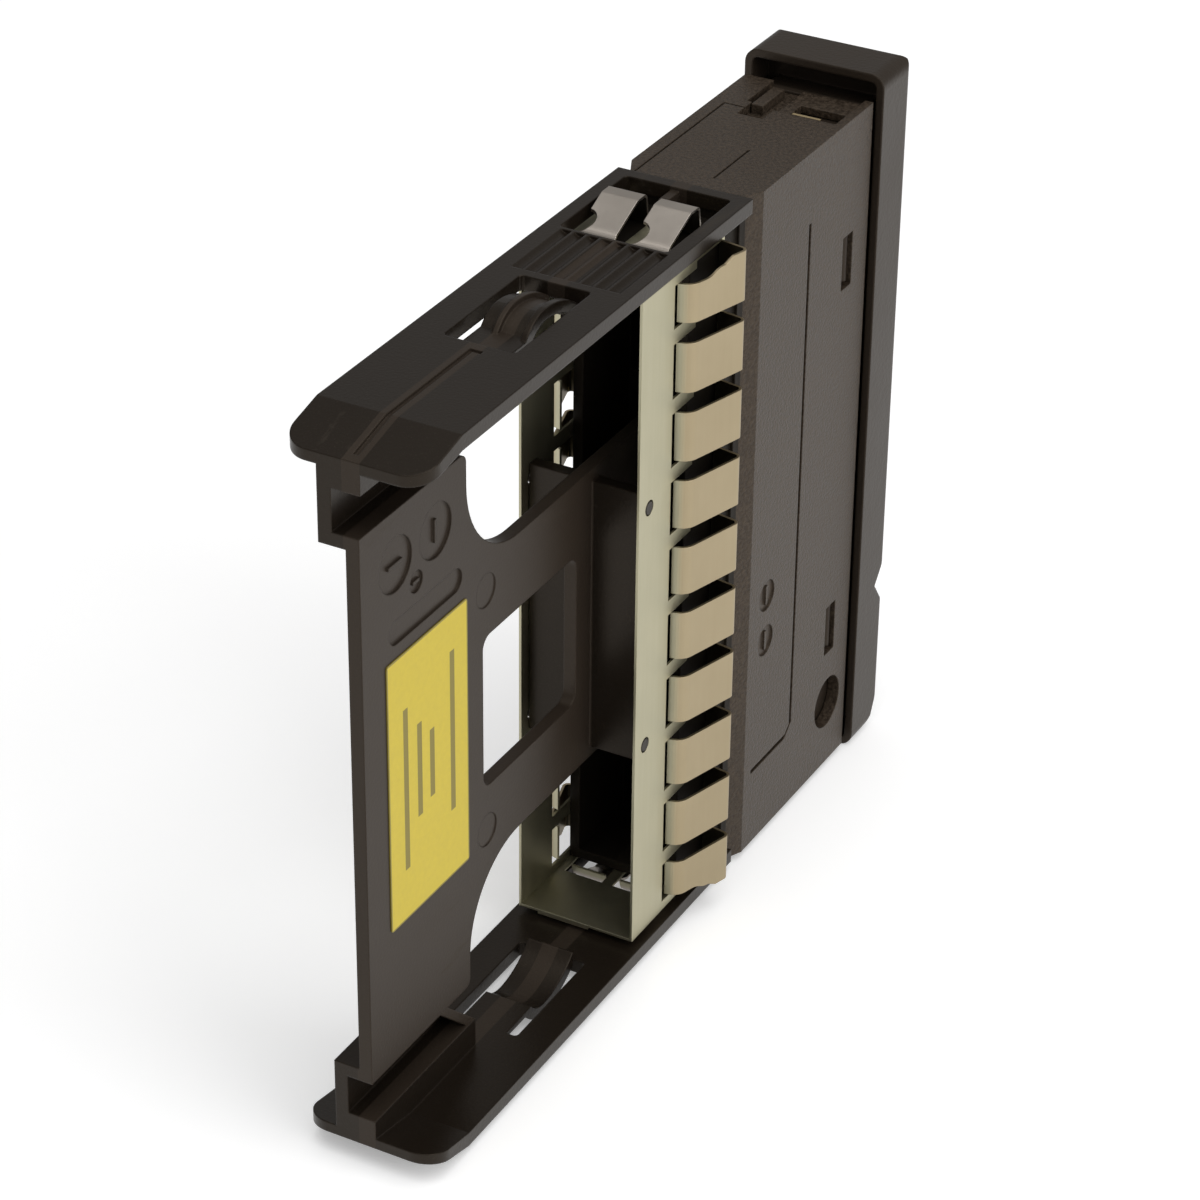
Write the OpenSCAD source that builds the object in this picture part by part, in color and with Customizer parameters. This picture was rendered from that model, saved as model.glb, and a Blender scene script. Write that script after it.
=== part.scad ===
// Blank filler for a hot-swap drive bay.
// Lengths in millimetres. +Y points out of the bay through the bezel, +Z is up,
// and the bottom edge of the bezel lies at Z = 0.

/* [Carrier rails] */
// Height over the outer faces of the two rails
rail_h = 84; // [76:0.5:92]
// Width of a rail
rail_w = 16; // [15:0.1:18]
// Thickness of a rail
rail_t = 1.7; // [1.4:0.1:2.2]
// Straight length of a rail, from the fold of its tip to the housing
rail_run = 59.7; // [58:0.1:70]
// Length of the sloping tip
tip_len = 7; // [4:0.5:10]
// Drop of the tip's end below the rail's outer face
tip_drop = 1.7; // [1:0.1:2.5]
// Thickness of the tip at its end
tip_end_t = 1.25; // [0.9:0.05:1.6]
// Corner radius of the tip seen from above
tip_r = 3; // [1:0.5:5]
// Width of the moulded centre groove
groove_w = 0.6; // [0.4:0.1:1]
// Depth of the moulded grooves
groove_d = 0.3; // [0.2:0.05:0.5]
// Length of the centre groove ahead of the fold
groove_run = 15.5; // [8:0.5:16]
// Length of the short cross groove at its end
groove_foot = 1.5; // [0.8:0.1:2]
// Number of grooves in the ribbed grip patch
grip_n = 8; // [4:1:8]
// Pitch of the grip grooves
grip_pitch = 1.6; // [1.4:0.05:1.7]
// Width of a grip groove
grip_w = 1.3; // [0.8:0.1:1.3]
// Depth of a grip groove
grip_d = 0.4; // [0.2:0.05:0.5]
// How far the grip patch sits to the right of the rail's middle
grip_shift = 0.4; // [0:0.1:0.5]
// Length of the grip patch
grip_len = 10.2; // [6:0.2:10.4]
// Distance from the fold to the grip patch
grip_y = 33.2; // [32.6:0.1:33.6]

/* [Leaf springs and windows] */
// Distance from the fold to the leaf spring's window
leaf_y = 16.7; // [16:0.1:17]
// Length of the leaf spring's window
leaf_win_len = 15.3; // [13:0.1:15.5]
// Width of the leaf spring's window
leaf_win_w = 8.2; // [7:0.1:10]
// Width of the leaf spring
leaf_w = 5.6; // [4.6:0.1:6.2]
// Thickness of the leaf
leaf_t = 0.7; // [0.5:0.05:0.9]
// Width of the leaf's two ribs
leaf_rib_w = 0.7; // [0.5:0.1:1]
// Height of the ribs above the leaf
leaf_rib_h = 0.6; // [0.4:0.1:0.9]
// Distance from the leaf's left edge to its first rib
leaf_rib_in = 1.6; // [0.8:0.1:2]
// How far the leaf stands proud of the rail
leaf_proud = 1; // [0.5:0.05:1]
// Distance from the window's rear edge to the leaf's crest
leaf_crest = 8.3; // [7.5:0.1:9]
// Radius of the leaf behind its crest
leaf_rear_r = 5; // [4:0.1:6]
// Radius of the leaf ahead of its crest
leaf_front_r = 10.3; // [9:0.1:14]
// Gap between the leaf's free end and the window
leaf_gap = 0.5; // [0.3:0.1:1]
// Corner radius of the rail's windows
win_r = 0.5; // [0.2:0.1:0.8]
// Distance from the fold to the contact window
contact_win_y = 43.8; // [43.6:0.1:44.4]
// Width of the contact window
contact_win_w = 12.6; // [12.2:0.1:13.2]

/* [Web and brackets] */
// Thickness of the web
web_t = 1.5; // [1.2:0.1:2]
// Distance from the fold to the front edge of the web's rear panel
panel_y = 12.8; // [11:0.1:15]
// Height of each arm of the web
arm_h = 8.8; // [6:0.1:10]
// Height of the opening between the arms
arm_gap = 18.2; // [14:0.1:24]
// Distance from the fold to the rear edge of the opening between the arms
gap_y = 15.8; // [15.2:0.1:18]
// Distance from the fold to the front edge of the opening between the arms
gap_end_y = 35.3; // [32:0.1:36.5]
// Corner radius of the opening between the arms
gap_r = 1.5; // [0.5:0.1:3]
// Radius between the rear panel and an arm
arm_r = 10.4; // [6:0.1:12]
// Corner radius of the rear panel
panel_r = 1.1; // [0.5:0.1:4]
// Distance from the fold to the cross wall
cross_y = 38.5; // [38.2:0.1:39.5]
// Thickness of the cross wall
cross_t = 1.5; // [1.2:0.1:2]
// Height of the cross wall
cross_h = 33; // [31:0.5:35]
// Height of the bracket's block against the rail
block_h = 3.5; // [2.5:0.1:5]
// Height of the channel in the bracket
channel_h = 4.7; // [4.2:0.1:6]
// Thickness of the bracket's flange
flange_t = 1.5; // [1.2:0.1:2]
// Thickness of the bracket's side wall and front wall
bracket_t = 1.55; // [1.2:0.05:2]
// Distance from the web's middle to the bracket's outer side
bracket_out = 3.8; // [3:0.1:5]
// How far the block reaches past the web's right face
block_over = 0.25; // [0:0.05:0.4]
// Distance from the fold to the front of the block
block_y = 13.3; // [13:0.1:14.5]
// Distance from the fold to the front of the flange
flange_y = 8.1; // [6:0.1:9]

/* [Moulding marks] */
// Radius of the date marks
date_r = 3; // [2:0.1:3.2]
// Height of the date marks above the web's middle
date_z = 26.2; // [25:0.1:27]
// Distance from the fold to the middle between the date marks
date_y = 3.15; // [2.5:0.05:3.6]
// Pitch of the two date marks
date_pitch = 7.5; // [6.8:0.1:8]
// Radius of the small round marks
mark_r = 1.9; // [1:0.1:2.2]
// Depth of the marks
mark_d = 0.25; // [0.1:0.05:0.3]
// Radius of the smallest mark
dot_r = 1.2; // [0.8:0.1:1.4]
// Height of the smallest mark above the web's middle
dot_z = 22.4; // [22:0.1:23]
// Distance from the fold to the two round marks on the arms
arm_mark_y = 16.5; // [15.5:0.1:18]
// Length of the long mark
long_mark_len = 13.8; // [10:0.1:14]
// Height of the long mark
long_mark_h = 2.7; // [2:0.1:3]
// Height of the long mark's lower edge above the web's middle
long_mark_z = 17.3; // [16.6:0.1:18]
// Length of the pointer in a date mark
pointer_len = 2.6; // [1.5:0.1:3]
// Width of the pointers
pointer_w = 0.4; // [0.3:0.05:0.6]

/* [Contact shield] */
// Width over the shield's side walls
shield_w = 14.4; // [14:0.1:14.8]
// Thickness of the sheet
sheet_t = 0.3; // [0.2:0.05:0.4]
// Gap between the shield and each rail
shield_gap = 0.8; // [0.6:0.05:1.2]
// Distance from the fold to the shield's rear edge
shield_y = 37; // [36:0.1:37.5]
// Length of the shield
shield_len = 18; // [17.8:0.1:20]
// Distance from the fold to the window behind the side fingers
comb_y = 48.8; // [48:0.1:51]
// Distance from the fold to the collar that backs the fingers
collar_y = 48; // [46:0.1:50]
// Wall of the collar
collar_t = 1.2; // [1:0.1:1.4]
// Number of fingers along each side
finger_n = 10; // [6:1:10]
// Height of a finger
finger_h = 5.75; // [4.5:0.05:6.2]
// Pitch of the fingers
finger_pitch = 8.12; // [7.6:0.01:8.14]
// Distance from the fold to the fingers' free ends
finger_y = 45.4; // [45:0.1:45.8]
// How far the fingers stand out of the shield
finger_out = 3.4; // [2.6:0.05:3.6]
// Slope of a finger's ramp in degrees
finger_slope = 16; // [14:0.5:20]
// How much narrower the outermost fingers are at their free ends
finger_neck = 1.35; // [0.8:0.05:1.6]
// Width of the fingers above and below
top_finger_w = 4.3; // [4:0.05:4.6]
// Pitch of the fingers above and below
top_finger_pitch = 6.2; // [5.8:0.05:6.3]
// How far these fingers sit to the left of the rails' middle
top_finger_shift = 0.4; // [0:0.05:0.5]
// Distance from the fold to the free ends of the fingers above and below
top_finger_y = 46.5; // [46.4:0.1:47]
// Slope of the ramps of the fingers above and below in degrees
top_finger_slope = 24; // [23:0.5:28]
// Length of the flat on the crests of these fingers
top_finger_flat = 1.2; // [0:0.1:1.4]
// Radius of the waist in the left edge of these fingers
waist_r = 1.35; // [0.8:0.05:1.5]
// Length of the folded hem along the shield's rear edge
hem_len = 6.4; // [4:0.1:8]
// Depth of the hem
hem_d = 1.2; // [0.8:0.1:1.5]
// How far the hem's middle sits to the left of the rails' middle
hem_shift = 1.6; // [0:0.1:2]
// Radius of the holes for the locating pips
pip_r = 0.9; // [0.6:0.05:1.2]

/* [Housing] */
// Width of the housing
housing_w = 15.8; // [15.4:0.1:17]
// Length of the housing
housing_len = 29.1; // [28:0.1:36]
// Wall of the housing
housing_wall = 1.5; // [1.2:0.1:1.8]
// How far the housing and the bezel sit to the right of the rails' middle
body_shift = 0.25; // [0:0.05:0.4]
// Chamfer of the housing's rear corners across the width
rear_cham = 1.1; // [0.5:0.1:1.3]
// Length of the housing's rear chamfer
rear_cham_len = 2.3; // [1:0.1:3]
// Height of the slots for the bezel's hooks
slot_h = 6.5; // [5:0.1:8]
// Length of the slots for the bezel's hooks
slot_len = 2.5; // [2:0.1:3]
// Distance from the housing's front to the slots
slot_back = 3.8; // [3.2:0.1:4.4]
// Height of the lower slots above the housing's bottom
slot_low = 15.7; // [14:0.1:17]
// Height of the upper slots above the housing's bottom
slot_high = 63.5; // [58:0.1:66]
// Radius of the round hole in the right side
side_hole_r = 3.3; // [2.5:0.1:3.6]
// Height of the round hole above the housing's bottom
side_hole_z = 8.6; // [8:0.1:9.5]
// Width of the pocket in the top
pocket_w = 5.8; // [4.6:0.1:6]
// Length of the pocket in the top
pocket_len = 3.9; // [3:0.1:4.2]
// Distance from the housing's front to the pocket
pocket_back = 3.6; // [3:0.1:4]
// Width of the upright rib in the top's recess
rib_w = 1.4; // [1:0.1:2]
// Length of the upright rib in the top's recess
rib_len = 5.4; // [4:0.1:6]
// Depth of the recess in the top
sunk_d = 1.2; // [0.8:0.1:1.3]
// Length of the recess in the top
sunk_len = 10.2; // [9:0.1:11]
// Depth of the step round the pocket
step_d = 0.6; // [0.3:0.1:0.8]
// Distance from the housing's rear to the L-shaped line in the right side
side_line_y = 14.1; // [12:0.1:16]
// Width of that line
side_line_w = 0.55; // [0.3:0.05:0.8]
// Depth of that line
side_line_d = 0.45; // [0.2:0.05:0.6]
// Height of that line's foot above the housing's bottom
side_line_z = 9.8; // [8:0.1:12]
// Height of that line's top above the housing's bottom
side_line_top = 75.4; // [70:0.2:80]
// Height of the lower round mark above the housing's bottom
stamp_z = 26.5; // [20:0.5:40]
// Pitch of the two round marks
stamp_pitch = 5.9; // [4.6:0.1:7]
// Distance from the housing's rear to the round marks
stamp_y = 6.6; // [5:0.1:8]

/* [Bezel] */
// Height of the bezel
bezel_h = 87.7; // [86.4:0.1:90]
// Width of the bezel
bezel_w = 17.2; // [16.8:0.1:18]
// Depth of the bezel
bezel_len = 7.2; // [6:0.1:10]
// How far the bezel reaches below the rails
bezel_low = 1; // [1:0.05:1.3]
// Space between the housing's front and the bezel's rim
bezel_gap = 1.2; // [0.8:0.1:2]
// Thickness of the bezel's rim
rim_t = 0.95; // [0.7:0.05:1.1]
// Thickness of the bezel's front
front_t = 3.2; // [3:0.1:4]
// Corner radius of the bezel
bezel_r = 1.7; // [1:0.1:2.2]
// Radius of the bezel's front edges
bezel_edge_r = 1; // [0.5:0.1:1.5]
// Depth of the V-shaped notch in the bezel's front
notch_d = 2.6; // [1:0.1:2.7]
// Height of the notch above the bezel's bottom
notch_z = 20.3; // [16:0.1:30]
// Half the height of the notch's mouth
notch_half = 3.2; // [2:0.1:4]
// How far the front is set back below the notch
notch_step = 0.3; // [0.1:0.05:0.5]
// Height of the slanted foot of the bezel's front
foot_h = 4; // [2:0.1:6]
// Depth of the slanted foot
foot_d = 3.6; // [2:0.1:4.5]
// Depth to which the bezel's plug enters the housing
plug_in = 9; // [8.2:0.1:9.6]
// Wall of the bezel's plug
plug_t = 1.2; // [1:0.1:1.5]
// How far the hooks stand out of the plug
hook_out = 1.2; // [0.8:0.1:1.5]

/* [Label] */
// Length of the label
label_len = 15.4; // [8:0.1:16]
// Height of the label
label_h = 31.5; // [15:0.1:34]
// Thickness of the label
label_t = 0.12; // [0.08:0.01:0.2]

/* [Clip in the pocket] */
// Width of the clip
clip_w = 3.4; // [2:0.1:5]
// Thickness of the clip's sheet
clip_t = 0.4; // [0.3:0.05:0.6]
// Height of the clip
clip_h = 1.3; // [0.9:0.1:1.5]
// Length of the clip's foot
clip_foot = 1.8; // [1.2:0.1:2]

/* [Hidden] */
$fn = 64;

eps = 0.01;
fit = 0.1; // clearance of the parts that slide into each other

// Stations along Y, with the whole length centred on the origin
length = tip_len + rail_run + housing_len + bezel_gap + bezel_len;
rear_y = -length / 2;
fold_y = rear_y + tip_len;
housing_y = fold_y + rail_run;
housing_end = housing_y + housing_len;
bezel_y = housing_end + bezel_gap;
front_y = bezel_y + bezel_len;

// Levels along Z
base_z = bezel_low;
out_z = base_z + rail_h;
in_z = out_z - rail_t;
crest_z = out_z + leaf_proud;
mid_z = base_z + rail_h / 2;
block_z = in_z - block_h;
channel_z = block_z - channel_h;
flange_z = channel_z - flange_t;
arm_z = mid_z + arm_gap / 2 + arm_h;

// Shield and what fills it
bulkhead_t = 1.3;
bulkhead_y = housing_y - bulkhead_t;
lug_w = 1;
lug_len = 3;
shield_z = in_z - shield_gap;
shield_in_w = shield_w - 2 * sheet_t;
shield_in_z = shield_z - sheet_t;
core_w = shield_in_w - 2 * fit;
core_z = shield_in_z - fit;
pip_z = 14.7;
slot_rear = 1.4;
slot_side = 0.3;
contact_win_len = bulkhead_y - 2 * fit - fold_y - contact_win_y;

// Housing and plug
housing_in_w = housing_w - 2 * housing_wall;
plug_w = housing_in_w - 2 * fit;
plug_h = rail_h - 2 * housing_wall - 2 * fit;
right_x = body_shift + housing_w / 2;
left_x = body_shift - housing_w / 2;
slot_y = housing_end - slot_back - slot_len;
hole_y = housing_end - 4.9;
pocket_y = housing_end - pocket_back - pocket_len;
pocket_x = right_x - 1.25 - pocket_w;
rib_x = left_x + 4.35;
rib_y = housing_end - 1.7 - rib_len;
sunk_y = housing_end - sunk_len;
line_w = 0.25; // width of the lines in the top
line_y = housing_end - 8.2;
spigot_len = 5;
spigot_w = housing_in_w - 2 * fit;
spigot_z = out_z - housing_wall - fit;
bezel_x0 = body_shift - bezel_w / 2;
bezel_x1 = body_shift + bezel_w / 2;
plug_z = mid_z + plug_h / 2;
shoulder = 1;
shoulder_out = 0.7;
hook_gap = 0.4;

// Finger as (along, out): bends at its root and its crest, and a steep leg
root_r = 1.6;
crest_r = 0.6;
root_angle = 75;
leg_angle = -80;
root_c = [0.12, 0.3] + root_r * [sin(root_angle), -cos(root_angle)];
crest_out = finger_out - crest_r - sheet_t / 2;

// ---- helpers ----

// Outline drawn as (Y, Z), extruded along X
module along_x(x0, x1) {
    translate([x0, 0, 0]) rotate([90, 0, 90]) linear_extrude(x1 - x0) children();
}

// Outline drawn as (X, Z), extruded along Y
module along_y(y0, y1) {
    translate([0, y1, 0]) rotate([90, 0, 0]) linear_extrude(y1 - y0) children();
}

// Outline drawn as (X, Y), extruded along Z
module along_z(z0, z1) {
    translate([0, 0, z0]) linear_extrude(z1 - z0) children();
}

// Box between two corners
module box(a, b) {
    translate(a) cube(b - a);
}

// Rectangle between two corners
module rect(a, b) {
    translate(a) square(b - a);
}

// Rectangle between two corners with rounded corners
module round_rect(a, b, r) {
    rect([a[0] + r, a[1]], [b[0] - r, b[1]]);
    rect([a[0], a[1] + r], [b[0], b[1] - r]);
    for (x = [a[0] + r, b[0] - r], y = [a[1] + r, b[1] - r])
        translate([x, y]) circle(r);
}

// Whatever is drawn at the top, and its mirror image at the bottom
module top_and_bottom() {
    children();
    translate([0, 0, 2 * mid_z]) mirror([0, 0, 1]) children();
}

// Whatever is drawn at the right of x, and its mirror image at the left
module both_sides(x = 0) {
    children();
    translate([2 * x, 0, 0]) mirror([1, 0, 0]) children();
}

// Points of an arc from angle a0 to a1 in degrees
function arc(c, r, a0, a1, n) =
    [for (i = [0:n]) let(a = a0 + (a1 - a0) * i / n) c + r * [cos(a), sin(a)]];

// ---- carrier: rails, brackets, web and bulkhead in one moulding ----

// Outer face of the sloping tip at a station y
function tip_z(y) = out_z - tip_drop * (fold_y - y) / tip_len;

module rail_plan() {
    rect([-rail_w / 2, rear_y + tip_r], [rail_w / 2, housing_y]);
    rect([-rail_w / 2 + tip_r, rear_y], [rail_w / 2 - tip_r, rear_y + 2 * tip_r]);
    for (x = [-rail_w / 2 + tip_r, rail_w / 2 - tip_r])
        translate([x, rear_y + tip_r]) circle(tip_r);
}

module rail_side() {
    polygon([
        [rear_y, out_z - tip_drop],
        [fold_y, out_z],
        [housing_y, out_z],
        [housing_y, in_z],
        [fold_y, in_z],
        [rear_y, out_z - tip_drop - tip_end_t]
    ]);
}

// Groove along the rail's middle, which follows the tip's slope
module centre_groove() {
    start = rear_y + 1;
    end = fold_y + groove_run;
    along_x(-groove_w / 2, groove_w / 2)
        polygon([
            [start, tip_z(start) - groove_d],
            [fold_y, out_z - groove_d],
            [end, out_z - groove_d],
            [end, out_z + 1],
            [start, out_z + 1]
        ]);
    box([-groove_w / 2, end - groove_w, out_z - groove_d],
        [groove_foot - groove_w / 2, end, out_z + 1]);
}

// Shallow round grooves side by side
module grip_grooves() {
    half = grip_w / 2;
    radius = (half * half + grip_d * grip_d) / (2 * grip_d);
    for (i = [0:grip_n - 1])
        translate([grip_shift + (i - (grip_n - 1) / 2) * grip_pitch, fold_y + grip_y,
                   out_z - grip_d + radius])
            rotate([-90, 0, 0]) cylinder(h = grip_len, r = radius);
}

module rail_windows() {
    along_z(in_z - 1, out_z + 1) {
        translate([0, fold_y + leaf_y])
            round_rect([-leaf_win_w / 2, 0], [leaf_win_w / 2, leaf_win_len], win_r);
        translate([0, fold_y + contact_win_y])
            round_rect([-contact_win_w / 2, 0], [contact_win_w / 2, contact_win_len], win_r);
    }
}

// Leaf seen from the side, inset below the crest's level: steep behind, flatter ahead
module leaf_arc(inset, t) {
    y = fold_y + leaf_y + leaf_crest;
    end = fold_y + leaf_y + leaf_win_len - leaf_gap;
    intersection() {
        ring(y, crest_z - leaf_rear_r, leaf_rear_r - inset, t);
        rect([y - leaf_rear_r, in_z], [y + eps, crest_z]);
    }
    intersection() {
        ring(y, crest_z - leaf_front_r, leaf_front_r - inset, t);
        rect([y, in_z - leaf_front_r], [end, crest_z]);
    }
}

// Ring about (y, z) with outer radius r and thickness t
module ring(y, z, r, t) {
    translate([y, z]) difference() {
        circle(r, $fn = 128);
        circle(r - t, $fn = 128);
    }
}

// Sprung leaf with two ribs: a flat root at the window's rear edge, an arch and a free end
module leaf_spring() {
    x0 = -leaf_w / 2;
    root_z = in_z + leaf_t / 2;
    root_reach = leaf_rear_r - leaf_rib_h - leaf_t / 2;
    root_drop = root_z - crest_z + leaf_rear_r;
    root_end = leaf_crest - sqrt(root_reach * root_reach - root_drop * root_drop);
    along_x(x0, -x0) leaf_arc(leaf_rib_h, leaf_t);
    for (x = [x0 + leaf_rib_in, -x0 - leaf_rib_w])
        along_x(x, x + leaf_rib_w) leaf_arc(0, leaf_t + leaf_rib_h);
    box([x0, fold_y + leaf_y - 1, in_z], [-x0, fold_y + leaf_y + root_end, in_z + leaf_t]);
}

module rail() {
    difference() {
        intersection() {
            along_x(-rail_w / 2, rail_w / 2) rail_side();
            along_z(in_z - tip_drop - 1, out_z + 1) rail_plan();
        }
        centre_groove();
        grip_grooves();
        rail_windows();
    }
    leaf_spring();
    // lug between the two contacts
    translate([-top_finger_shift - lug_w / 2, bulkhead_y - lug_len, in_z])
        cube([lug_w, lug_len + eps, rail_t - 0.4]);
}

// Channel that carries the web's edge, open to the right and to the rear
module bracket() {
    x0 = -bracket_out;
    block_front = fold_y + block_y;
    flange_front = fold_y + flange_y;
    // block against the rail
    along_x(x0, web_t / 2 + block_over)
        polygon([
            [rear_y, out_z - tip_drop - tip_end_t / 2],
            [fold_y, out_z - rail_t / 2],
            [block_front, out_z - rail_t / 2],
            [block_front, block_z],
            [rear_y, block_z]
        ]);
    // side wall
    along_x(x0, x0 + bracket_t)
        polygon([
            [rear_y, block_z + eps],
            [block_front, block_z + eps],
            [flange_front, channel_z],
            [flange_front, flange_z],
            [rear_y, flange_z]
        ]);
    // slanted front wall
    along_x(x0, web_t / 2)
        polygon([
            [block_front, block_z + eps],
            [flange_front, channel_z - eps],
            [flange_front - bracket_t, channel_z - eps],
            [block_front - bracket_t, block_z + eps]
        ]);
    // flange
    box([x0, rear_y, flange_z], [web_t / 2, flange_front, channel_z]);
}

// Upper half of the web, from the arms to the flange
module web_corner() {
    panel_front = fold_y + panel_y;
    difference() {
        rect([rear_y, mid_z], [panel_front, channel_z]);
        difference() {
            rect([panel_front - panel_r, channel_z - panel_r], [panel_front + 1, channel_z + 1]);
            translate([panel_front - panel_r, channel_z - panel_r]) circle(panel_r);
        }
    }
    difference() {
        rect([panel_front - eps, arm_z - eps], [panel_front + arm_r, arm_z + arm_r]);
        translate([panel_front + arm_r, arm_z + arm_r]) circle(arm_r, $fn = 96);
    }
}

module web() {
    along_x(-web_t / 2, web_t / 2)
        difference() {
            union() {
                web_corner();
                translate([0, 2 * mid_z]) mirror([0, 1]) web_corner();
                rect([fold_y, 2 * mid_z - arm_z], [bulkhead_y + eps, arm_z]);
            }
            round_rect([fold_y + gap_y, mid_z - arm_gap / 2],
                       [fold_y + gap_end_y, mid_z + arm_gap / 2], gap_r);
        }
}

// Wall across the inside of the shield, with pips that locate the shield
module cross_wall() {
    y0 = fold_y + cross_y;
    box([-core_w / 2, y0, mid_z - cross_h / 2], [core_w / 2, y0 + cross_t, mid_z + cross_h / 2]);
    for (z = [mid_z - pip_z, mid_z + pip_z])
        translate([-shield_w / 2, y0 + cross_t / 2, z])
            rotate([0, 90, 0]) cylinder(h = shield_w, r = cross_t / 2 - eps);
}

// Rectangle centred on (x, mid_z), w wide, reaching to height z and its mirror
module level_rect(x, w, z) {
    rect([x - w / 2, 2 * mid_z - z], [x + w / 2, z]);
}

// Plate that closes the rails' front, with a collar in the shield and a spigot in the housing
module bulkhead() {
    // vents above and below the web, through the plate
    vent_z = (arm_z + core_z) / 2 - mid_z;
    vent_w = core_w - 2 * collar_t - 2 * fit;
    vent_h = core_z - arm_z - 2 * collar_t - 2 * fit;
    difference() {
        union() {
            along_y(bulkhead_y, housing_y) level_rect(0, shield_w, in_z + eps);
            along_y(fold_y + collar_y, bulkhead_y + eps) level_rect(0, core_w, core_z);
            along_y(housing_y - eps, housing_y + spigot_len)
                level_rect(body_shift, spigot_w, spigot_z);
        }
        along_y(fold_y + collar_y - 1, bulkhead_y)
            level_rect(0, core_w - 2 * collar_t, core_z - collar_t);
        along_y(housing_y, housing_y + spigot_len + 1)
            level_rect(body_shift, spigot_w - 2 * collar_t, spigot_z - collar_t);
        for (z = [mid_z - vent_z, mid_z + vent_z])
            translate([-vent_w / 2, bulkhead_y - 1, z - vent_h / 2])
                cube([vent_w, bulkhead_t + 2, vent_h]);
    }
}

// Shallow round and long marks in the web's right face
module web_marks() {
    x0 = web_t / 2 - mark_d;
    y0 = fold_y + date_y;
    translate([x0, y0 - date_pitch / 2, mid_z + date_z])
        date_mark(date_r, [pointer_w, pointer_len]);
    translate([x0, y0 + date_pitch / 2, mid_z + date_z])
        date_mark(date_r, [pointer_len, pointer_w]);
    translate([x0, y0, mid_z + dot_z]) date_mark(dot_r, [pointer_w, dot_r]);
    for (s = [-1, 1])
        translate([x0 + mark_d / 2, fold_y + arm_mark_y, mid_z + s * (arm_gap + arm_h) / 2 + s])
            rotate([0, 90, 0]) cylinder(h = 1, r = mark_r);
    along_x(x0, x0 + 1)
        translate([fold_y + panel_y - 1 - long_mark_len, mid_z + long_mark_z])
            round_rect([0, 0], [long_mark_len, long_mark_h], long_mark_h / 2 - eps);
}

// Round recess whose floor carries a raised pointer, size = (height, length)
module date_mark(r, size) {
    rotate([0, 90, 0]) difference() {
        cylinder(h = 1, r = r);
        translate([-size[0] / 2, -size[1] / 2, -1]) cube([size[0], size[1], 3]);
    }
}

module carrier() color([0.12, 0.11, 0.10]) {
    top_and_bottom() {
        rail();
        bracket();
    }
    difference() {
        web();
        web_marks();
    }
    cross_wall();
    bulkhead();
}

// ---- contact shield: one folded sheet with sprung fingers ----

// Centre of a finger's first crest bend, for a ramp of the given slope in degrees
function crest_at(slope) =
    let(turn = crest_r - root_r,
        ramp = (crest_out - root_c[1] + turn * cos(slope)) / sin(slope))
    [root_c[0] + ramp * cos(slope) + turn * sin(slope), crest_out];

// Distance from a finger's free end to the foot of its leg
function finger_reach(slope, flat) =
    crest_at(slope)[0] + flat + (crest_r + sheet_t / 2) * cos(leg_angle + 90)
    + crest_out / tan(-leg_angle);

// One face of the finger, offset from its centre line by d. All bends turn the same way,
// so the two faces are arcs about the same centres.
function finger_face(slope, flat, d) =
    let(crest = crest_at(slope),
        last = crest + [flat, 0],
        leg = [cos(leg_angle), sin(leg_angle)])
    concat(
        [root_c + (root_r + d) * [cos(root_angle + 90), sin(root_angle + 90)]
            - 0.7 * [cos(root_angle), sin(root_angle)]],
        arc(root_c, root_r + d, root_angle + 90, slope + 90, 6),
        flat > 0 ? arc(crest, crest_r + d, slope + 90, 90, 3) : [],
        arc(last, crest_r + d, flat > 0 ? 90 : slope + 90, leg_angle + 90, 8),
        [last + (crest_r + d) * [-leg[1], leg[0]]
            + (crest_out + sheet_t / 2) / sin(-leg_angle) * leg]);

function reversed(list) = [for (i = [len(list) - 1:-1:0]) list[i]];

// Side view of a finger, along X and out along Y
module finger_section(slope, flat) {
    polygon(concat(finger_face(slope, flat, sheet_t / 2),
                   reversed(finger_face(slope, flat, -sheet_t / 2))));
}

// Finger w wide on a sheet's face at Y = 0, which grows along +X.
// neck makes its free end narrower on the +Z side, in a flowing curve.
module finger(w, slope, flat, neck) {
    difference() {
        translate([0, 0, -w / 2]) linear_extrude(w) finger_section(slope, flat);
        if (neck > 0)
            translate([0, 5, 0]) rotate([90, 0, 0]) linear_extrude(10) neck_outline(w / 2, neck);
    }
}

// What the neck takes off, as (along, across), from the edge at far
module neck_outline(far, neck) {
    bend = 2 * neck;
    start = 2.2;
    polygon(concat(
        [[-2, far + 1], [-2, far - neck]],
        arc([start, far - neck + bend], bend, -90, -60, 6),
        arc([start + bend, far - neck + bend - bend * sqrt(3)], bend, 120, 90, 6),
        [[start + bend + 3, far + 1]]));
}

module shield_tube() {
    y0 = fold_y + shield_y;
    y1 = y0 + shield_len;
    difference() {
        along_y(y0, y1) level_rect(0, shield_w, shield_z);
        along_y(y0 - 1, y1 + 1) level_rect(0, shield_in_w, shield_in_z);
        finger_slots();
        top_and_bottom() top_slots();
        for (z = [mid_z - pip_z, mid_z + pip_z])
            translate([-shield_w, fold_y + cross_y + cross_t / 2, z])
                rotate([0, 90, 0]) cylinder(h = 2 * shield_w, r = pip_r);
    }
}

// Height of finger i above the middle
function finger_z(i) = (i - (finger_n - 1) / 2) * finger_pitch;

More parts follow.
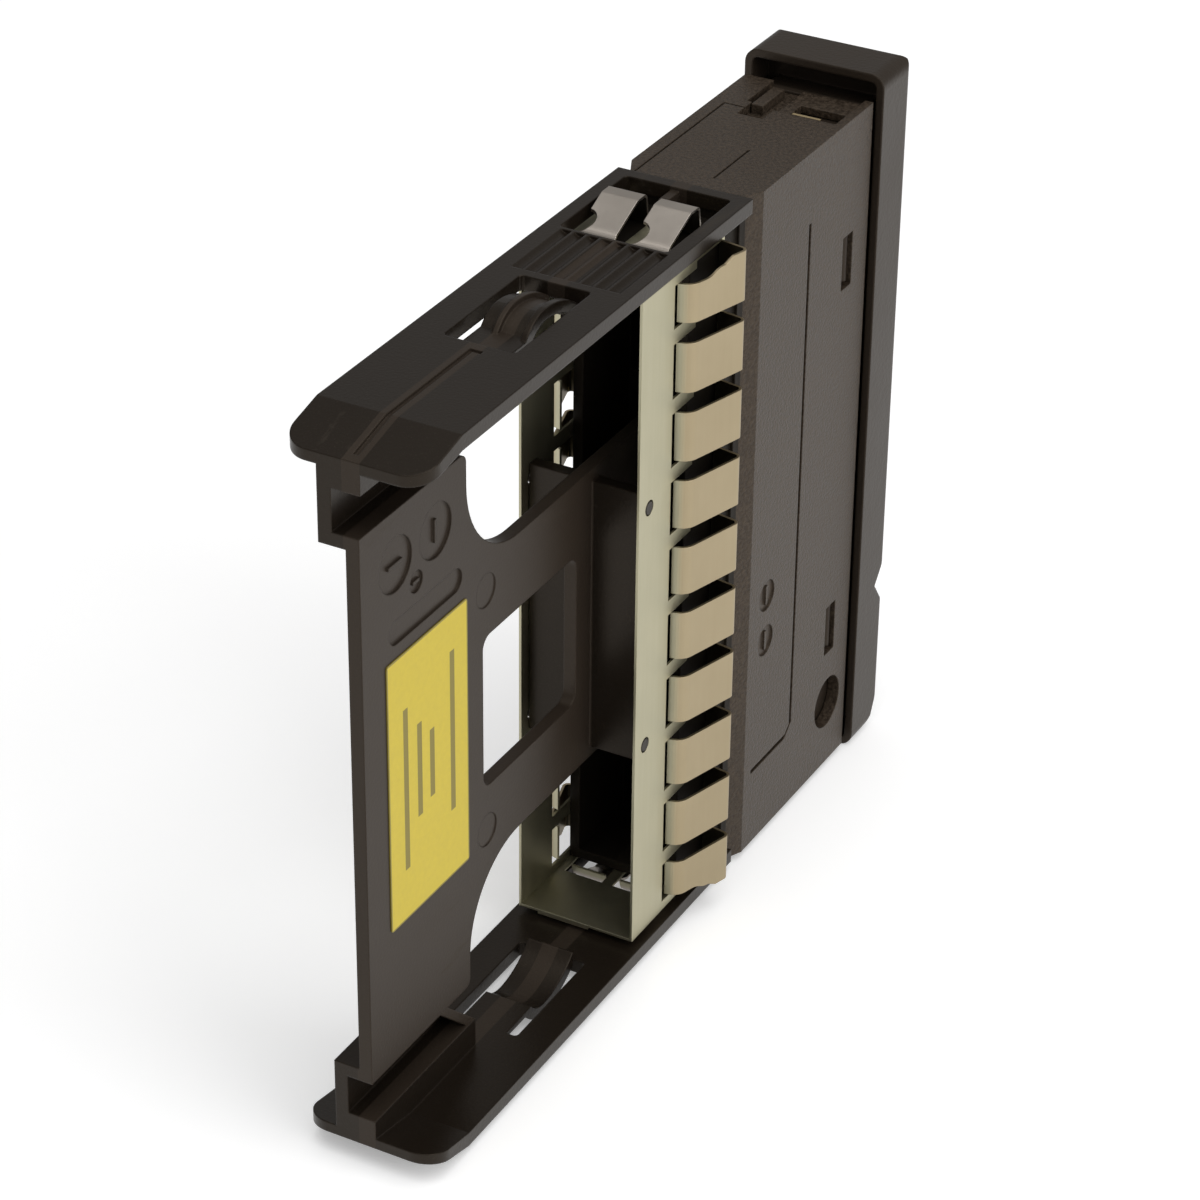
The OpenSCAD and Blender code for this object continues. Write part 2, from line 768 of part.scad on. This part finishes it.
// Slots round the free ends, which run into one tall window behind the ramps
module finger_slots() {
    y0 = fold_y + finger_y;
    y1 = y0 + finger_reach(finger_slope, 0);
    for (i = [0:finger_n - 1]) {
        low = i == 0 ? finger_neck : 0;
        high = i == finger_n - 1 ? finger_neck : 0;
        z = mid_z + finger_z(i);
        box([-shield_w, y0 - slot_rear, z - finger_h / 2 - slot_side + low],
            [shield_w, y1, z + finger_h / 2 + slot_side - high]);
    }
    box([-shield_w, fold_y + comb_y, 2 * mid_z - shield_in_z],
        [shield_w, y1, shield_in_z]);
}

module top_slots() {
    y0 = fold_y + top_finger_y;
    for (s = [-0.5, 0.5]) {
        x = s * top_finger_pitch - top_finger_shift;
        half = top_finger_w / 2 + slot_side;
        box([x - half, y0 - slot_rear, shield_in_z - 1],
            [x + half, y0 + finger_reach(top_finger_slope, top_finger_flat), shield_z + 1]);
    }
}

// Fingers at the right; the lowest one has its neck below
module side_fingers() {
    for (i = [0:finger_n - 1]) {
        end = i == 0 || i == finger_n - 1;
        translate([shield_w / 2, fold_y + finger_y, mid_z + finger_z(i)])
            mirror([0, 0, i == 0 ? 1 : 0])
                multmatrix([[0, 1, 0, 0], [1, 0, 0, 0], [0, 0, 1, 0]])
                    finger(finger_h, finger_slope, 0, end ? finger_neck : 0);
    }
}

// Fingers above: a waist is cut in the left edge beside the free end
module top_fingers() {
    for (s = [-0.5, 0.5])
        translate([s * top_finger_pitch - top_finger_shift, fold_y + top_finger_y, shield_z])
            difference() {
                multmatrix([[0, 0, 1, 0], [1, 0, 0, 0], [0, 1, 0, 0]])
                    finger(top_finger_w, top_finger_slope, top_finger_flat, 0);
                translate([-top_finger_w / 2 - fit, 1.6, 0]) cylinder(h = 3, r = waist_r);
            }
}

// Folded hem along the middle of the rear edge
module hem() {
    translate([-hem_shift - hem_len / 2, fold_y + shield_y, shield_z - eps])
        cube([hem_len, hem_d, sheet_t + eps]);
}

module contact_shield() color([0.78, 0.77, 0.68]) {
    shield_tube();
    both_sides() side_fingers();
    top_and_bottom() {
        top_fingers();
        hem();
    }
}

// ---- housing: hollow box ahead of the rails ----

module housing_plan() {
    polygon([
        [left_x + rear_cham, housing_y],
        [left_x, housing_y + rear_cham_len],
        [left_x, housing_end],
        [right_x, housing_end],
        [right_x, housing_y + rear_cham_len],
        [right_x - rear_cham, housing_y]
    ]);
}

// Lines moulded into the top: the edge of the left panel and the parting step
module top_lines() {
    x0 = left_x + 1.5;
    x1 = right_x - 6.2;
    z = out_z - groove_d;
    box([x0, housing_y - 1, z], [x0 + line_w, line_y, out_z + 1]);
    box([x0, line_y - line_w, z], [rib_x + eps, line_y, out_z + 1]);
    box([x1, housing_y + 2.5, z], [x1 + line_w, housing_y + 10.9, out_z + 1]);
}

// Recess beside the upright rib, with a slanted rear wall
module top_recess() {
    z = out_z - sunk_d;
    along_x(rib_x - 2 * fit, rib_x + rib_w + 1.5)
        polygon([
            [sunk_y, out_z + eps],
            [sunk_y + 1.5, z],
            [housing_end + 1, z],
            [housing_end + 1, out_z + 1],
            [sunk_y, out_z + 1]
        ]);
    box([rib_x - 0.8, rib_y + 0.5, z], [rib_x + eps, housing_end + 1, out_z + 1]);
    // step round the pocket
    box([rib_x + rib_w, pocket_y, out_z - step_d], [right_x - 1, housing_end + 1, out_z + 1]);
}

module finger_rib() {
    box([rib_x, rib_y, out_z - sunk_d - eps], [rib_x + rib_w, rib_y + rib_len, out_z]);
}

// L-shaped line, slots, hole and round marks in the right side
module side_cuts() {
    half = side_line_w / 2;
    y1 = housing_y + side_line_y;
    z0 = base_z + side_line_z;
    bend = 1.4;
    along_x(right_x - side_line_d, right_x + 1) {
        rect([y1 - half, z0 + bend], [y1 + half, base_z + side_line_top]);
        polygon([
            [y1 - half, z0 + bend + eps],
            [y1 + half, z0 + bend + eps],
            [y1 - bend, z0],
            [y1 - bend, z0 + side_line_w]
        ]);
        rect([housing_y + 4, z0], [y1 - bend + eps, z0 + side_line_w]);
    }
    for (z = [stamp_z, stamp_z + stamp_pitch])
        translate([right_x - mark_d, housing_y + stamp_y, base_z + z])
            date_mark(mark_r, [2 * mark_r - 1.4, pointer_w]);
    translate([right_x - housing_wall - 1, hole_y, base_z + side_hole_z])
        rotate([0, 90, 0]) cylinder(h = housing_wall + 2, r = side_hole_r);
}

module hook_slots() {
    for (z = [slot_low, slot_high])
        box([left_x - 1, slot_y, base_z + z], [right_x + 1, slot_y + slot_len, base_z + z + slot_h]);
}

module housing() color([0.15, 0.14, 0.13]) {
    difference() {
        along_z(base_z, out_z) housing_plan();
        along_y(housing_y - 1, housing_end + 1)
            level_rect(body_shift, housing_in_w, out_z - housing_wall);
        top_lines();
        top_recess();
        side_cuts();
        hook_slots();
        box([pocket_x, pocket_y, out_z - housing_wall - 1],
            [pocket_x + pocket_w, pocket_y + pocket_len, out_z + 1]);
    }
    finger_rib();
}

// ---- bezel: hollow cap with a plug that snaps into the housing ----

// Side view: rounded top edge, V notch, set-back lower front and slanted foot
module bezel_side() {
    r = bezel_edge_r;
    low_y = front_y - notch_step;
    polygon(concat(
        [[bezel_y, 0], [low_y - foot_d, 0]],
        [[low_y - 0.42 * foot_d, 0.4 * foot_h], [low_y - 0.11 * foot_d, foot_h]],
        [[low_y, notch_z - notch_half], [front_y - notch_d, notch_z]],
        [[front_y, notch_z + notch_half]],
        arc([front_y - r, bezel_h - r], r, 0, 90, 8),
        [[bezel_y, bezel_h]]));
}

module bezel_shell() {
    inner = front_y - front_t;
    difference() {
        intersection() {
            along_x(bezel_x0, bezel_x1) bezel_side();
            along_y(bezel_y, front_y) round_rect([bezel_x0, 0], [bezel_x1, bezel_h], bezel_r);
            along_z(0, bezel_h) {
                rect([bezel_x0, bezel_y], [bezel_x1, front_y - bezel_edge_r]);
                round_rect([bezel_x0, bezel_y], [bezel_x1, front_y], bezel_edge_r);
            }
        }
        along_y(bezel_y - 1, inner)
            round_rect([bezel_x0 + rim_t, rim_t], [bezel_x1 - rim_t, bezel_h - rim_t],
                       bezel_r - rim_t);
    }
}

// Rectangular tube that enters the housing, with a shoulder against its front
module plug() {
    y0 = housing_end - plug_in;
    difference() {
        union() {
            along_y(y0, front_y - front_t + eps) level_rect(body_shift, plug_w, plug_z);
            along_y(housing_end, housing_end + shoulder)
                level_rect(body_shift, plug_w + 2 * shoulder_out, plug_z + shoulder_out);
        }
        along_y(y0 - 1, front_y - front_t)
            level_rect(body_shift, plug_w - 2 * plug_t, plug_z - plug_t);
    }
}

// Hooks that stand in the housing's slots
module hooks() {
    x0 = body_shift + plug_w / 2;
    y1 = slot_y + slot_len - hook_gap;
    for (z = [slot_low, slot_high])
        along_z(base_z + z + hook_gap, base_z + z + slot_h - hook_gap)
            polygon([
                [x0 - eps, slot_y + hook_gap],
                [x0 + hook_out, y1 - hook_gap],
                [x0 + hook_out, y1],
                [x0 - eps, y1]
            ]);
}

module bezel() color([0.10, 0.10, 0.10]) {
    bezel_shell();
    plug();
    both_sides(body_shift) hooks();
}

// ---- clip that shows in the housing's pocket ----

module pocket_clip() color([0.85, 0.72, 0.42]) {
    x0 = pocket_x + clip_t;
    y0 = pocket_y + clip_t;
    lean = 0.3;
    along_x(x0, x0 + clip_w)
        polygon([
            [y0, plug_z],
            [y0 + clip_foot, plug_z],
            [y0 + clip_foot, plug_z + clip_t],
            [y0 + clip_t, plug_z + clip_t],
            [y0 + clip_t + lean, plug_z + clip_h],
            [y0 + lean, plug_z + clip_h]
        ]);
}

// ---- label on the web ----

module label() color([0.93, 0.80, 0.20])
    along_x(web_t / 2, web_t / 2 + label_t)
        translate([fold_y + panel_y - 0.2 - label_len, mid_z - label_h / 2])
            round_rect([0, 0], [label_len, label_h], 0.4);

carrier();
housing();
bezel();
contact_shield();
pocket_clip();
label();
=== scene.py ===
import bpy
from mathutils import Matrix, Vector


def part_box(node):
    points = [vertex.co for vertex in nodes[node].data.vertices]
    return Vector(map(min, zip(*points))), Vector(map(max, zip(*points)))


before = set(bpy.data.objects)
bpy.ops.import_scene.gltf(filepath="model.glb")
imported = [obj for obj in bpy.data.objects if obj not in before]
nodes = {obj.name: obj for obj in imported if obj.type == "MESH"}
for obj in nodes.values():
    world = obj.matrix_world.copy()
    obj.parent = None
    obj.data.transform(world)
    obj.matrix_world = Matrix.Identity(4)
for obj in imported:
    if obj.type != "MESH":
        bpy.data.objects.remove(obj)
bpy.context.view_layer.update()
bpy.ops.object.select_all(action="DESELECT")
scene = bpy.context.scene
mm = 0.001


# ---------------------------------------------------------------------------
# Camera. A long lens looks down at the rails' tips from behind and from the
# right, with the bezel furthest away.
camera_data = bpy.data.cameras.new("camera")
camera_data.lens = 116.78
camera_data.sensor_width = 36
camera_data.clip_start = 0.01
camera = bpy.data.objects.new("camera", camera_data)
scene.collection.objects.link(camera)
camera_right = Vector((0.87638747, 0.48150102, 0.01008832))
camera_up = Vector((-0.2542281, 0.44473051, 0.85882644))
camera_back = Vector((0.40903922, -0.75522946, 0.51216733))
camera_place = Vector((171.10, -319.05, 257.24)) * mm
camera.matrix_world = Matrix((
    (camera_right.x, camera_up.x, camera_back.x, camera_place.x),
    (camera_right.y, camera_up.y, camera_back.y, camera_place.y),
    (camera_right.z, camera_up.z, camera_back.z, camera_place.z),
    (0, 0, 0, 1)))
scene.camera = camera
scene.view_settings.view_transform = "Standard"


# ---------------------------------------------------------------------------
# Carrier. One moulding in black glass-filled plastic. Its rails come shiny
# from a polished tool, and the web is greyer, with flow marks and fine dust.

# A wire is a socket whose arithmetic adds Math nodes.
class Wire:
    def __init__(self, finish, socket):
        self.finish = finish
        self.socket = socket

    def math(self, operation, *others):
        return self.finish.node("Math", {"operation": operation}, self, *others)

    def __add__(self, other):
        return self.math("ADD", other)

    def __sub__(self, other):
        return self.math("SUBTRACT", other)

    def __rsub__(self, other):
        return self.finish.node("Math", {"operation": "SUBTRACT"}, other, self)

    def __mul__(self, other):
        return self.math("MULTIPLY", other)

    def __lt__(self, other):
        return self.math("LESS_THAN", other)

    def __gt__(self, other):
        return self.math("GREATER_THAN", other)

    def __abs__(self):
        return self.math("ABSOLUTE")

    __radd__ = __add__


# A finish is a material, on the piece's own coordinates, whose nodes one method adds.
class Finish:
    def __init__(self, name):
        self.material = bpy.data.materials.new(name)
        self.material.use_nodes = True
        self.tree = self.material.node_tree
        self.surface = self.tree.nodes["Principled BSDF"]
        self.place = self.node("TexCoord", out="Object")
        self.x, self.y, self.z = self.split(self.place)

    def node(self, kind, settings=None, *values, out=0, **named):
        added = self.tree.nodes.new("ShaderNode" + kind)
        for key, value in (settings or {}).items():
            setattr(added, key, value)
        sockets = [(added.inputs[i], v) for i, v in enumerate(values)]
        sockets += [(added.inputs[k.replace("_", " ")], v) for k, v in named.items()]
        for socket, value in sockets:
            self.feed(socket, value)
        return Wire(self, added.outputs[out])

    def feed(self, socket, value):
        if isinstance(value, Wire):
            self.tree.links.new(value.socket, socket)
        elif hasattr(socket.default_value, "__len__") and len(socket.default_value) == 4:
            socket.default_value = (*value, 1)
        else:
            socket.default_value = value

    def split(self, vector):
        parts = self.node("SeparateXYZ", None, vector)
        outputs = parts.socket.node.outputs
        return [Wire(self, outputs[i]) for i in range(3)]

    def noise(self, scale, detail=2.0, stretch=(1, 1, 1), roughness=0.5):
        place = self.node("Mapping", None, self.place, Scale=stretch)
        return self.node("TexNoise", None, Vector=place, Scale=scale, Detail=detail,
                         Roughness=roughness)

    def mix(self, factor, first, second):
        mixed = self.tree.nodes.new("ShaderNodeMix")
        mixed.data_type = "RGBA"
        self.feed(mixed.inputs["Factor"], factor)
        for socket, value in ((mixed.inputs[6], first), (mixed.inputs[7], second)):
            self.feed(socket, value)
        return Wire(self, mixed.outputs[2])

    def between(self, value, low, high):
        return self.node("MapRange", {"clamp": True}, value, low, high, 0.0, 1.0)

    def bump(self, height, distance, strength, normal):
        return self.node("Bump", None, Height=height, Distance=distance,
                         Strength=strength, Normal=normal)

    def rounded(self, radius):
        return self.node("Bevel", {"samples": 6}, radius)

    def put(self, **named):
        for key, value in named.items():
            self.feed(self.surface.inputs[key.replace("_", " ")], value)


# Gloss of the black plastics, a little warm.
warm_gloss = (1.0, 0.84, 0.68)


def dress(node, finish):
    mesh = nodes[node].data
    mesh.materials.clear()
    mesh.materials.append(finish.material)


def carrier_finish():
    plastic = Finish("carrier_plastic")
    flow = plastic.noise(90, 3.0, (1, 0.35, 1))
    grain = plastic.noise(2600, 2.0)
    dust = plastic.between(plastic.noise(5200, 2.0, (1, 1, 1), 0.6), 0.60, 0.74)
    scuff = plastic.between(plastic.noise(420, 4.0, (1, 0.12, 1), 0.7), 0.64, 0.74)
    web_half = 1.0 * mm
    rail_inside = 40.2 * mm
    web = abs(plastic.x) < web_half
    shield_low, shield_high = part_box("contact_shield")
    middle = (shield_low.z + shield_high.z) / 2
    # Painted shade: inside the sleeve, from just behind the shield's rear edge forward and
    # between the rails, the plastic is coloured near black and made rougher, standing in
    # for the shadow there.
    sleeve_painted_shade = plastic.between(plastic.y, shield_low.y + 1 * mm, shield_low.y + 7 * mm)
    sleeve_painted_shade = sleeve_painted_shade * (abs(plastic.z - middle) < rail_inside)
    shiny = plastic.mix(flow, (0.0080, 0.0056, 0.0038), (0.0130, 0.0095, 0.0066))
    dull = plastic.mix(flow, (0.0200, 0.0140, 0.0100), (0.0290, 0.0215, 0.0155))
    colour = plastic.mix(web, shiny, dull)
    colour = plastic.mix(dust * 0.10 + scuff * 0.10, colour, (0.12, 0.10, 0.075))
    colour = plastic.mix(sleeve_painted_shade * 0.8, colour, (0.0030, 0.0026, 0.0018))
    plastic.put(Base_Color=colour,
                Specular_IOR_Level=0.27,
                Specular_Tint=warm_gloss,
                Roughness=0.24 + flow * 0.12 + web * 0.14 + scuff * 0.12 + sleeve_painted_shade * 0.35,
                Normal=plastic.bump(grain, 0.00003, 0.5, plastic.rounded(0.25 * mm)))
    return plastic


dress("carrier", carrier_finish())


# ---------------------------------------------------------------------------
# Housing. A hollow box moulded in the same black plastic in a spark-eroded
# tool, which leaves a fine matt grain on every outer face.
def housing_finish():
    plastic = Finish("housing_plastic")
    grain = plastic.noise(2600, 3.0, (1, 1, 1), 0.65)
    cloud = plastic.noise(60, 3.0)
    spark = plastic.between(grain, 0.38, 0.66)
    colour = plastic.mix(spark, (0.020, 0.0140, 0.0095), (0.064, 0.047, 0.033))
    colour = plastic.mix(cloud * 0.4, colour, (0.022, 0.016, 0.011))
    plastic.put(Base_Color=colour,
                Specular_IOR_Level=0.34,
                Specular_Tint=warm_gloss,
                Roughness=0.36 + spark * 0.14,
                Normal=plastic.bump(grain, 0.00012, 0.9, plastic.rounded(0.2 * mm)))
    return plastic


dress("housing", housing_finish())


# ---------------------------------------------------------------------------
# Bezel. The narrow cap that shows in the bay's front: black plastic, smooth
# and satin, with soft edges all round.
def bezel_finish():
    plastic = Finish("bezel_plastic")
    grain = plastic.noise(2200, 2.0)
    cloud = plastic.noise(70, 3.0)
    colour = plastic.mix(cloud, (0.017, 0.0125, 0.0090), (0.027, 0.0200, 0.0145))
    plastic.put(Base_Color=colour,
                Specular_IOR_Level=0.30,
                Specular_Tint=warm_gloss,
                Roughness=0.34 + cloud * 0.12,
                Normal=plastic.bump(grain, 0.00005, 0.6, plastic.rounded(0.35 * mm)))
    return plastic


dress("bezel", bezel_finish())


# ---------------------------------------------------------------------------
# Contact shield. One sheet of thin spring steel with a dull warm plating,
# folded into a sleeve; its fingers are creamier where the sheet was formed.
def shield_finish():
    sheet = Finish("shield_sheet")
    brushed = sheet.noise(1500, 3.0, (1, 1, 0.05), 0.6)
    cloud = sheet.noise(140, 3.0)
    low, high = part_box("contact_shield")
    middle = (low.z + high.z) / 2
    finger_rise = 3.4 * mm
    leg_start = 7.3 * mm
    wall_x = high.x - finger_rise
    roof = high.z - finger_rise - middle
    finger = sheet.between(abs(sheet.x), wall_x + 0.1 * mm, wall_x + 0.8 * mm)
    upper = sheet.between(abs(sheet.z - middle), roof + 0.2 * mm, roof + 0.6 * mm)
    plain = sheet.mix(cloud, (0.42, 0.395, 0.275), (0.50, 0.47, 0.335))
    cream = sheet.mix(cloud, (0.350, 0.285, 0.178), (0.430, 0.355, 0.232))
    steel = sheet.mix(cloud, (0.40, 0.355, 0.31), (0.56, 0.51, 0.45))
    colour = sheet.mix(upper, sheet.mix(finger, plain, cream), steel)
    # Painted shade: faces of the fingers' legs that face the rear are coloured near black,
    # standing in for the shadow on them; the steel there is no darker.
    facing = sheet.split(sheet.node("NewGeometry", out="Normal"))
    leg_painted_shade = (facing[1] < -0.5) * (sheet.y > leg_start)
    colour = sheet.mix(leg_painted_shade * 0.88, colour, (0.030, 0.026, 0.018))
    sheet.put(Base_Color=colour,
              Roughness=0.34 + brushed * 0.14 + cloud * 0.06 - upper * 0.08,
              Metallic=1.0,
              Normal=sheet.bump(brushed, 0.00001, 0.5, sheet.rounded(0.08 * mm)))
    return sheet


dress("contact_shield", shield_finish())


# ---------------------------------------------------------------------------
# Clip in the housing's top pocket: a scrap of gold-coloured spring sheet.
def clip_finish():
    sheet = Finish("clip_sheet")
    cloud = sheet.noise(400, 2.0)
    sheet.put(Base_Color=sheet.mix(cloud, (0.70, 0.52, 0.26), (0.84, 0.68, 0.40)),
              Roughness=0.25 + cloud * 0.15,
              Metallic=1.0)
    return sheet


dress("pocket_clip", clip_finish())


# ---------------------------------------------------------------------------
# Label. A yellow printed film on the web's right face, bare but for a thin
# dark border and plain bars.
def label_finish():
    film = Finish("label_film")
    low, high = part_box("label")
    fibre = film.noise(1800, 2.0)
    middle = (low + high) / 2
    half = (high - low) / 2
    line = 0.2 * mm
    bar = 0.45 * mm
    border = 1 - ((abs(film.y - middle.y) < half.y - line)
                  * (abs(film.z - middle.z) < half.z - line))
    yellow = film.mix(fibre, (0.56, 0.43, 0.026), (0.64, 0.50, 0.038))
    ink = border * 0.7
    for across, start, end in ((-4.4, 6, 25), (-1.8, 11, 22), (0.6, 12, 20), (4.6, 8, 27)):
        stroke = abs(film.y - (middle.y + across * mm)) < bar
        stroke = stroke * (film.z > low.z + start * mm) * (film.z < low.z + end * mm)
        ink = ink + stroke * 0.75
    film.put(Base_Color=film.mix(ink, yellow, (0.10, 0.08, 0.02)),
             Specular_IOR_Level=0.30,
             Roughness=0.32 + fibre * 0.1)
    return film


dress("label", label_finish())


# ---------------------------------------------------------------------------
# Floor and light. A white sheet below the part, which also shows white where
# it is seen in glossy faces, soft lamps overhead and at the right, and a plain
# surround.
def floor_finish():
    paper = Finish("floor_paper")
    path = paper.node("LightPath", out="Is Camera Ray")
    glossy = Wire(paper, path.socket.node.outputs["Is Glossy Ray"])
    seen = path.math("MAXIMUM", glossy) * 0.3
    paper.put(Base_Color=(0.90, 0.90, 0.90), Roughness=0.9,
              Emission_Color=paper.mix(seen, (0, 0, 0), (1, 1, 1)))
    paper.surface.inputs["Emission Strength"].default_value = 1.0
    paper.surface.inputs["Specular IOR Level"].default_value = 0.1
    return paper


bpy.ops.mesh.primitive_plane_add(size=6, location=(0, 0, 0))
floor = bpy.context.active_object
floor.name = "floor"
floor.data.materials.append(floor_finish().material)


def lamp(name, place, aim, size, power):
    data = bpy.data.lights.new(name, "AREA")
    data.shape = "RECTANGLE"
    data.size, data.size_y = size
    data.energy = power
    lamp_object = bpy.data.objects.new(name, data)
    scene.collection.objects.link(lamp_object)
    lamp_object.location = place
    direction = Vector(aim) - Vector(place)
    lamp_object.rotation_euler = direction.to_track_quat("-Z", "Y").to_euler()


lamp("lamp_over", (0.25, -0.1, 1.0), (0, 0, 0.03), (1.2, 1.2), 7.5)
lamp("lamp_right", (1.1, -0.2, 0.5), (0, 0, 0.04), (0.9, 0.7), 5.0)

world = bpy.data.worlds.new("surround")
scene.world = world
world.use_nodes = True
tree = world.node_tree
background = tree.nodes["Background"]
path = tree.nodes.new("ShaderNodeLightPath")
level = tree.nodes.new("ShaderNodeMath")
level.operation = "MULTIPLY_ADD"
tree.links.new(path.outputs["Is Camera Ray"], level.inputs[0])
level.inputs[1].default_value = 0.65
level.inputs[2].default_value = 0.35
tree.links.new(level.outputs[0], background.inputs["Strength"])
background.inputs["Color"].default_value = (1, 1, 1, 1)
